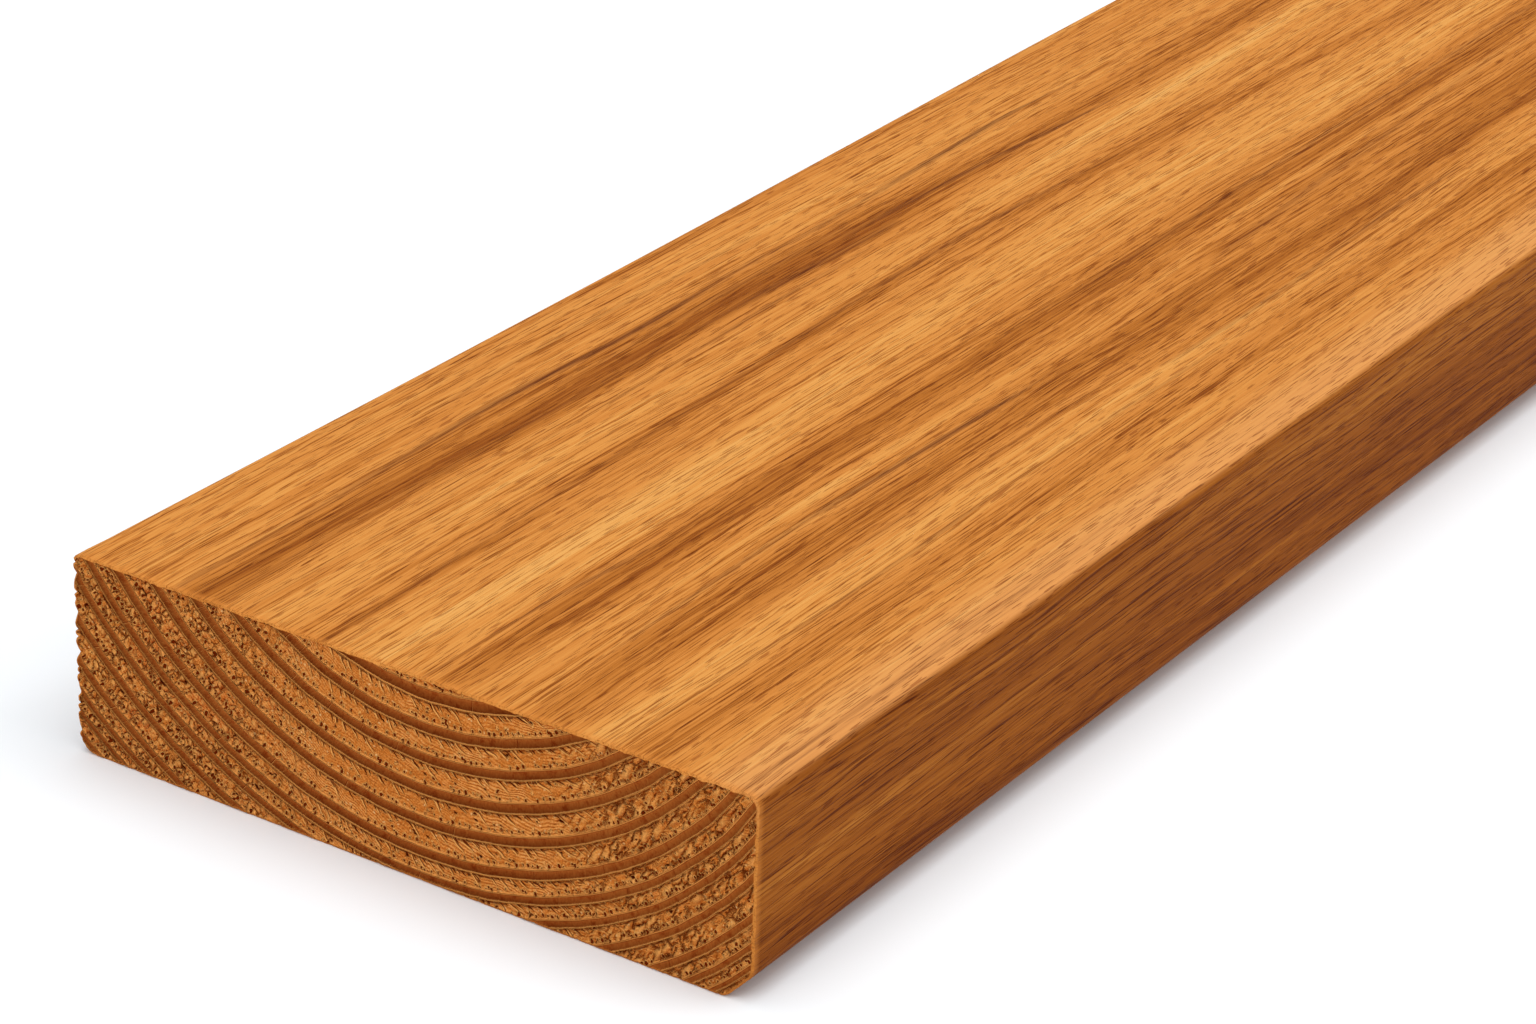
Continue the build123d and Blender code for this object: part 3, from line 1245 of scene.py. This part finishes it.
DARK_LINES = (
    Streak(((0, 22.6), (50, 21.6), (90, 20.4), (112, 21), (140, 22), (170, 21.2), (200, 21.3), (250, 19.6),
            (285, 18.9), (320, 20)), 1.4, 0.8,
           ((0, 0.6), (40, 0.5), (85, 0.9), (145, 1.0), (165, 0.4), (200, 0.4), (250, 0.9), (285, 0.9),
            (320, 0.0))),
    Streak(((0, 26), (110, 25.5), (200, 26)), 1.6, 0.35,
           ((0, 0.5), (100, 0.9), (165, 1.0), (205, 0.0))),
    Streak(((0, 31), (100, 30), (150, 31), (190, 32), (205, 32.3)), 1.6, 0.55,
           ((0, 0.4), (150, 0.5), (170, 1.0), (200, 1.0), (212, 0.0))),
    Streak(((0, 37), (100, 36.5), (140, 35.6), (190, 35.2)), 0.8, 0.4,
           ((0, 0.4), (70, 0.2), (125, 0.9), (180, 0.9), (200, 0.0))),
    Streak(((195, 28.3), (235, 29.4), (262, 30.6), (300, 32.8)), 1.2, 0.75,
           ((195, 0.0), (212, 0.9), (262, 1.0), (310, 0.0))),
    Streak(((0, 54), (50, 52.2), (100, 50.2), (150, 46.9), (200, 46.1), (240, 47.6), (300, 51)), 1.0, 0.5,
           ((0, 0.5), (90, 0.6), (150, 0.9), (225, 1.0), (260, 0.5), (310, 0.0))),
    Streak(((0, 73.6), (30, 74.6), (60, 77), (100, 77.5)), 1.0, 0.6,
           ((0, 0.9), (30, 0.9), (60, 0.5), (100, 0.0))),
    Streak(((40, 93), (100, 92.6), (130, 93.2), (170, 94.6), (220, 95.6)), 1.1, 0.75,
           ((20, 0.0), (60, 0.6), (128, 1.0), (172, 1.0), (200, 0.3), (240, 0.0))),
    Streak(((0, 104), (100, 105), (160, 104.6)), 0.9, 0.35,
           ((0, 0.3), (60, 0.8), (140, 0.8), (180, 0.0))),
    Streak(((180, 109), (232, 109.2), (262, 107.4), (290, 107.8)), 1.1, 0.55,
           ((180, 0.0), (215, 0.8), (290, 0.9), (310, 0.0))),
    Streak(((160, 77), (250, 78.5), (330, 76.5), (400, 77)), 1.4, 0.45,
           ((160, 0.0), (220, 0.7), (400, 0.9))),
    Streak(((230, 92), (300, 88), (380, 84)), 1.8, 0.35,
           ((230, 0.0), (260, 0.9), (340, 0.8), (380, 0.0))),
    Streak(((0, 113), (80, 112.6), (190, 113.6)), 0.7, 0.4,
           ((0, 0.4), (40, 0.9), (170, 0.8), (200, 0.0))),
    Streak(((80, 14), (130, 13), (190, 14.5)), 0.8, 0.35,
           ((80, 0.0), (120, 0.9), (160, 0.9), (190, 0.0))),
    Streak(((0, 136.6), (60, 136.4), (110, 135)), 0.8, 0.45,
           ((0, 0.9), (80, 0.7), (120, 0.0))),
)


@dataclass(frozen=True)
class FacePlaces:
    """Where a place on the long faces is, as sockets in millimetres, with the patterns of its grain.

    The share on_top is 1 on the top face, and own is 1 where the top face's own streaks are drawn.
    """

    along: Socket
    from_back: Socket
    up: Socket
    on_top: Socket
    own: Socket
    broad: Socket
    medium: Socket
    fine: Socket
    thread: Socket
    pore: Socket


@dataclass(frozen=True)
class PlanedTeak:
    """Plantation teak, planed with the grain, smoothed by sanding and thinly oiled: golden brown with darker
    streaks, fine threads and short open pores along the grain, and only a faint satin sheen.

    Each pattern has its length along the grain and its width across it, in millimetres, and each
    bend its sway as well. A pair of other lengths gives where something starts and where it is full.
    """

    ramp: tuple[tuple[float, str], ...] = (
        (0.0, "8a4816"), (1.0, "dea258"), (0.25, "ae6726"), (0.5, "c87e38"), (0.75, "d59046"),
    )
    # Darker ramp for the long edges: painted shade, as the sides get less light than the top
    shaded_side_ramp: tuple[tuple[float, str], ...] = (
        (0.0, "602a07"), (1.0, "c48036"), (0.3, "804210"), (0.52, "965318"), (0.78, "ac6826"),
    )
    smoke: str = "683418"
    pore_tint: str = "9c6038"
    # Colour of the painted highlight along the long faces' ends
    rim_highlight: str = "d08038"
    # Colour of the painted sheen beside the front arris
    painted_sheen: str = "d8985c"
    streak_reach: float = 420.0
    streak_fade: float = 60.0
    top_starts: tuple[float, float] = (7.0, 2.0)
    # Heights at which the painted shade low on the long edges starts and is full
    shade_low_down: tuple[float, float] = (24.0, 4.0)
    # Distances from the front edge at which the painted sheen starts and is full
    sheen_strip: tuple[float, float] = (14.0, 4.0)
    # Distances from the ends at which the painted highlight starts and is full
    rim_highlight_mm: tuple[float, float] = (2.2, 0.2)
    bends: tuple[tuple[float, float, float], ...] = (
        (130.0, 22.0, 4.0), (38.0, 6.0, 0.9), (10.0, 1.6, 0.12),
    )
    broad_mm: tuple[float, float] = (300.0, 11.0)
    medium_mm: tuple[float, float] = (280.0, 2.5)
    fine_mm: tuple[float, float] = (60.0, 0.42)
    thread_mm: tuple[float, float] = (80.0, 1.1)
    pore_mm: tuple[float, float] = (6.0, 0.26)
    relief_mm: float = 0.16

    def bend(self, node: AddNode, place: Socket) -> Socket:
        """Bend the grain, from its long sways down to its small waves.

        Args:
            node: adds a node to the finish.
            place: straight coordinates in millimetres.

        Returns:
            Coordinates that follow the grain.
        """
        grain = place
        for long_mm, wide_mm, sway in self.bends:
            stretched = node(MAPPING, {}, {
                "Vector": place, "Scale": (1 / long_mm, 1 / wide_mm, 1 / wide_mm),
            })
            wave = node(NOISE, {}, {
                "Vector": stretched, "Scale": 1.0, "Detail": 1.0,
            }, output="Color")
            wave = node(VECTOR_MATH, SUBTRACT, {0: wave, 1: (0.5, 0.5, 0.5)})
            grain = node(VECTOR_MATH, MULTIPLY_ADD, {0: wave, 1: (0.0, sway, sway), 2: grain})
        return grain

    def find_places(self, node: AddNode, plank: Plank) -> FacePlaces:
        """Measure the place on the board, and lay out the patterns of the grain.

        Args:
            node: adds a node to the finish.
            plank: the board, for its half length and its section.

        Returns:
            The places and the patterns as sockets.
        """
        width, top = plank.section.width, plank.section.thickness
        grain = self.bend(node, node(MAPPING, {}, {
            "Vector": node("ShaderNodeTexCoord", {}, output="Object"),
            "Scale": (1 / MM, 1 / MM, 1 / MM),
            "Location": (plank.half_length, 0.0, 0.0),
        }))
        along, across, up = node("ShaderNodeSeparateXYZ", {}, {0: grain}).node.outputs
        patterns = []
        for (long_mm, wide_mm), detail in (
            (self.broad_mm, 2.0),
            (self.medium_mm, 2.5),
            (self.fine_mm, 1.5),
            (self.thread_mm, 1.5),
            (self.pore_mm, 0.0),
        ):
            stretched = node(MAPPING, {}, {
                "Vector": grain, "Scale": (1 / long_mm, 1 / wide_mm, 1 / wide_mm),
            })
            patterns.append(node(NOISE, {}, {
                "Vector": stretched, "Scale": 1.0, "Detail": detail, "Roughness": 0.6,
            }))
        start, full = (top - below for below in self.top_starts)
        on_top = node(MAP_RANGE, STEP, {0: up, 1: start, 2: full})
        fade = self.streak_fade
        own = node(MAP_RANGE, STEP, {
            0: along, 1: self.streak_reach - fade, 2: self.streak_reach + fade, 3: on_top, 4: 0.0,
        })
        from_back = node(MATH, MULTIPLY_ADD, {0: across, 1: -1.0, 2: width / 2})
        return FacePlaces(along, from_back, up, on_top, own, *patterns)

    def streaks(self, node: AddNode, at: FacePlaces, width: float) -> tuple[Socket, Socket]:
        """Draw the top face's own streaks, which hold as far as the eye is led along them.

        Args:
            node: adds a node to the finish.
            at: places on the long faces.
            width: the board's width.

        Returns:
            The sums of the broad bands and of the dark lines.
        """
        share_along = node(MATH, MULTIPLY, {0: at.along, 1: 1 / self.streak_reach})
        sums = []
        for group in (PALE_BANDS + BROWN_BANDS, DARK_LINES):
            total = node(MATH, MULTIPLY, {0: at.own, 1: 0.0})
            for streak in group:
                shade = streak.shade(node, share_along, at.from_back, self.streak_reach, width)
                total = node(MATH, MULTIPLY_ADD, {0: shade, 1: at.own, 2: total})
            sums.append(total)
        return sums[0], sums[1]

    def tone(self, node: AddNode, at: FacePlaces, bands: Socket) -> tuple[Socket, Socket]:
        """Work out how pale the wood is, from its broadest bands down to its fibres.

        Args:
            node: adds a node to the finish.
            at: places on the long faces.
            bands: sum of the top face's broad bands.

        Returns:
            The tone, and the thin dark threads that are in it.
        """
        broad_gain = node(MATH, MULTIPLY_ADD, {0: at.own, 1: -0.4, 2: 0.9})
        tone = node(MATH, SUBTRACT, {0: at.broad, 1: 0.5})
        tone = node(MATH, MULTIPLY_ADD, {0: tone, 1: broad_gain, 2: bands})
        for pattern, gain in ((at.medium, 0.78), (at.fine, 0.75)):
            tone = node(MATH, MULTIPLY_ADD, {0: pattern, 1: gain, 2: tone})
        tone = node(MATH, SUBTRACT, {0: tone, 1: 0.235})

        # Painted shade: the wood is a little darker low down, on both long edges and underneath
        high, low = self.shade_low_down
        low_shade = node(MAP_RANGE, {}, {0: at.up, 1: high, 2: low, 3: 0.0, 4: 0.28})
        tone = node(MATH, SUBTRACT, {0: tone, 1: low_shade})

        # Threads: thin dark lines, where a stretched noise crosses its middle
        gap = node(MATH, SUBTRACT, {0: at.thread, 1: 0.5})
        gap = node(MATH, ABSOLUTE, {0: gap})
        threads = node(MAP_RANGE, STEP, {0: gap, 1: 0.0, 2: 0.045, 3: 1.0, 4: 0.0})
        crowd = node(MAP_RANGE, STEP, {0: at.fine, 1: 0.62, 2: 0.38, 3: 0.12, 4: 0.42})
        threads = node(MATH, MULTIPLY, {0: threads, 1: crowd})
        return node(MATH, SUBTRACT, {0: tone, 1: threads}), threads

    def make(self, plank: Plank) -> bpy.types.Material:
        """Build the material.

        Args:
            plank: the board, for its half length and its section.

        Returns:
            The finished material.
        """
        material = bpy.data.materials.new("planed_oiled_teak")
        material.use_nodes = True
        tree = material.node_tree
        tree.nodes.clear()
        node = partial(add_node, tree)
        width, half_length = plank.section.width, plank.half_length
        at = self.find_places(node, plank)
        bands, lines = self.streaks(node, at, width)
        tone, threads = self.tone(node, at, bands)

        # Painted sheen: the top is paler in a strip beside the front arris
        face = node(COLOUR_RAMP, {}, {0: tone}, stops=self.ramp)
        far, near = self.sheen_strip
        painted_sheen = node(MAP_RANGE, STEP, {
            0: at.from_back, 1: width - far, 2: width - near, 3: 0.0, 4: 0.45,
        })
        painted_sheen = node(MATH, MULTIPLY, {0: painted_sheen, 1: at.on_top})
        face = lay_on(node, face, [(painted_sheen, MIX_COLOUR, self.painted_sheen)])

        # Painted shade: the long edges take a darker ramp than the top, and turn to it over their arrises
        edge = node(COLOUR_RAMP, {}, {0: tone}, stops=self.shaded_side_ramp)
        normal = node("ShaderNodeNewGeometry", {}, output="Normal")
        on_edge = node("ShaderNodeSeparateXYZ", {}, {0: normal}, output=1)
        on_edge = node(MATH, ABSOLUTE, {0: on_edge})
        on_edge = node(MAP_RANGE, STEP, {0: on_edge, 1: 0.45, 2: 0.97})
        colour = node(MIX, MIX_COLOUR, {0: on_edge, 6: face, 7: edge}, output=2)

        # Dark lines break up into threads of the fine grain, and pores lie open along it
        frayed = node(MAP_RANGE, {}, {0: at.fine, 1: 0.66, 2: 0.46, 3: 0.45, 4: 1.1})
        lines = node(MATH, {"operation": "MULTIPLY", "use_clamp": True}, {0: lines, 1: frayed})
        start = node(MAP_RANGE, {}, {0: at.medium, 1: 0.3, 2: 0.7, 3: 0.66, 4: 0.60})
        full = node(MATH, ADD, {0: start, 1: 0.08})
        pores = node(MAP_RANGE, STEP, {0: at.pore, 1: start, 2: full, 3: 0.0, 4: 0.5})

        # Painted highlight on the last two millimetres of the long faces, beside the sawn ends
        to_middle = node(MATH, SUBTRACT, {0: at.along, 1: half_length})
        to_middle = node(MATH, ABSOLUTE, {0: to_middle})
        start, full = (half_length - distance for distance in self.rim_highlight_mm)
        rim = node(MAP_RANGE, STEP, {0: to_middle, 1: start, 2: full, 3: 0.0, 4: 0.5})
        colour = lay_on(node, colour, [
            (lines, MIX_COLOUR, self.smoke),
            (pores, TINT_COLOUR, self.pore_tint),
            (rim, MIX_COLOUR, self.rim_highlight),
        ])

        roughness = node(MAP_RANGE, {}, {0: at.fine, 1: 0.3, 2: 0.7, 3: 0.5, 4: 0.6})
        height = node(MATH, MULTIPLY_ADD, {0: pores, 1: -1.2, 2: at.fine})
        height = node(MATH, MULTIPLY_ADD, {0: threads, 1: -1.0, 2: height})
        bump = node(BUMP, {}, {"Strength": 0.8, "Distance": self.relief_mm * MM, "Height": height})
        surface = node("ShaderNodeBsdfPrincipled", {}, {
            "Base Color": colour, "Roughness": roughness, "Specular IOR Level": 0.02, "Normal": bump,
        })
        output = tree.nodes.new("ShaderNodeOutputMaterial")
        tree.links.new(surface, output.inputs["Surface"])
        return material


@dataclass(frozen=True)
class SeamlessPaper:
    """Matt white studio paper under the board."""

    colour: str = "f2f4f5"
    tooth_scale: float = 900.0
    tooth_mm: float = 0.02

    def make(self) -> bpy.types.Material:
        """Build the material, with the paper's faint tooth.

        Returns:
            The finished material.
        """
        material = bpy.data.materials.new("matt_white_paper")
        material.use_nodes = True
        tree = material.node_tree
        shader = tree.nodes["Principled BSDF"]
        shader.inputs["Base Color"].default_value = linear(self.colour)
        shader.inputs["Roughness"].default_value = 0.9
        shader.inputs["Specular IOR Level"].default_value = 0.1
        tooth = add_node(tree, NOISE, {}, {
            "Vector": add_node(tree, "ShaderNodeTexCoord", {}, output="Object"), "Scale": self.tooth_scale,
        })
        bump = add_node(tree, BUMP, {}, {
            "Strength": 0.1, "Distance": self.tooth_mm * MM, "Height": tooth,
        })
        tree.links.new(bump, shader.inputs["Normal"])
        return material


# Studio


@dataclass(frozen=True)
class Lamp:
    """A broad, soft light from far off, which lights the whole floor evenly."""

    name: str
    azimuth: float
    elevation: float
    strength: float
    spread: float
    colour: str = "ffffff"

    def hang(self) -> None:
        """Add the light to the scene."""
        light = bpy.data.lights.new(self.name, "SUN")
        light.energy = self.strength
        light.angle = math.radians(self.spread)
        light.color = linear(self.colour)[:3]
        lamp = bpy.data.objects.new(self.name, light)
        towards = Vector(direction(self.azimuth, self.elevation))
        lamp.rotation_euler = towards.to_track_quat("Z", "Y").to_euler()
        bpy.context.scene.collection.objects.link(lamp)


def direction(azimuth: float, elevation: float) -> tuple[float, float, float]:
    """Point from the object towards a place round it.

    Args:
        azimuth: degrees round from the front, positive towards +X.
        elevation: degrees up.

    Returns:
        A unit vector.
    """
    turn, lift = math.radians(azimuth), math.radians(elevation)
    return math.sin(turn) * math.cos(lift), -math.cos(turn) * math.cos(lift), math.sin(lift)


@dataclass(frozen=True)
class Studio:
    """Pale paper floor, soft overhead light and the photograph's camera."""

    near_end: float
    floor_half: float = 9.0
    world_colour: str = "eaf2fa"
    world_strength: float = 0.42
    lamps: tuple[Lamp, ...] = (
        Lamp("overhead_softbox", -60.0, 85.0, 1.75, 60.0),
        Lamp("left_fill", -82.0, 45.0, 0.75, 35.0),
        Lamp("right_fill", 25.0, 38.0, 0.92, 50.0),
    )
    lens: float = 110.676
    camera_azimuth: float = -57.0873
    camera_elevation: float = 25.9879
    camera_roll: float = 1.798
    beyond_end: float = 0.53397
    camera_y: float = -0.41544
    camera_z: float = 0.39730

    def lay_floor(self) -> None:
        """Lay the paper floor."""
        sheet = bmesh.new()
        bmesh.ops.create_grid(sheet, x_segments=8, y_segments=8, size=self.floor_half)
        mesh = bpy.data.meshes.new("paper_floor")
        sheet.to_mesh(mesh)
        sheet.free()
        floor = bpy.data.objects.new("paper_floor", mesh)
        floor.data.materials.append(SeamlessPaper().make())
        bpy.context.scene.collection.objects.link(floor)

    def light(self) -> None:
        """Set the world and the lamps, and show colours as they are."""
        scene = bpy.context.scene
        world = bpy.data.worlds.new("studio_room")
        world.use_nodes = True
        sky = world.node_tree.nodes["Background"]
        sky.inputs["Color"].default_value = linear(self.world_colour)
        sky.inputs["Strength"].default_value = self.world_strength
        scene.world = world
        scene.view_settings.view_transform = "Standard"
        for lamp in self.lamps:
            lamp.hang()

    def aim(self) -> None:
        """Set up the camera at the photograph's angle, which was solved from the board's corners."""
        camera = bpy.data.cameras.new("photo_camera")
        camera.sensor_width = 36.0
        camera.lens = self.lens
        camera.clip_end = 60.0
        back = Vector(direction(self.camera_azimuth, self.camera_elevation))
        level = Vector((0.0, 0.0, 1.0)).cross(back).normalized()
        upright = back.cross(level)
        roll = math.asin(math.sin(math.radians(self.camera_roll)) / upright.z)
        right = level * math.cos(roll) + upright * math.sin(roll)
        turn = Matrix((right, back.cross(right), back)).transposed().to_4x4()
        holder = bpy.data.objects.new("photo_camera", camera)
        place = Vector((self.near_end - self.beyond_end, self.camera_y, self.camera_z))
        holder.matrix_world = Matrix.Translation(place) @ turn
        bpy.context.scene.collection.objects.link(holder)
        bpy.context.scene.camera = holder


def main() -> None:
    """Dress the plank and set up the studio."""
    logging.basicConfig(level=logging.INFO)
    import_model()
    low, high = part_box(NODE)
    plank = Plank(low, high)
    piece = plank.build()
    piece.data.materials.append(SawnEndGrain().make())
    piece.data.materials.append(PlanedTeak().make(plank))
    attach(piece, "root")
    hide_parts(NODE)
    LOG.info("%s: %d faces", piece.name, len(piece.data.polygons))
    studio = Studio(near_end=low.x)
    studio.lay_floor()
    studio.light()
    studio.aim()


if __name__ == "__main__":
    main()
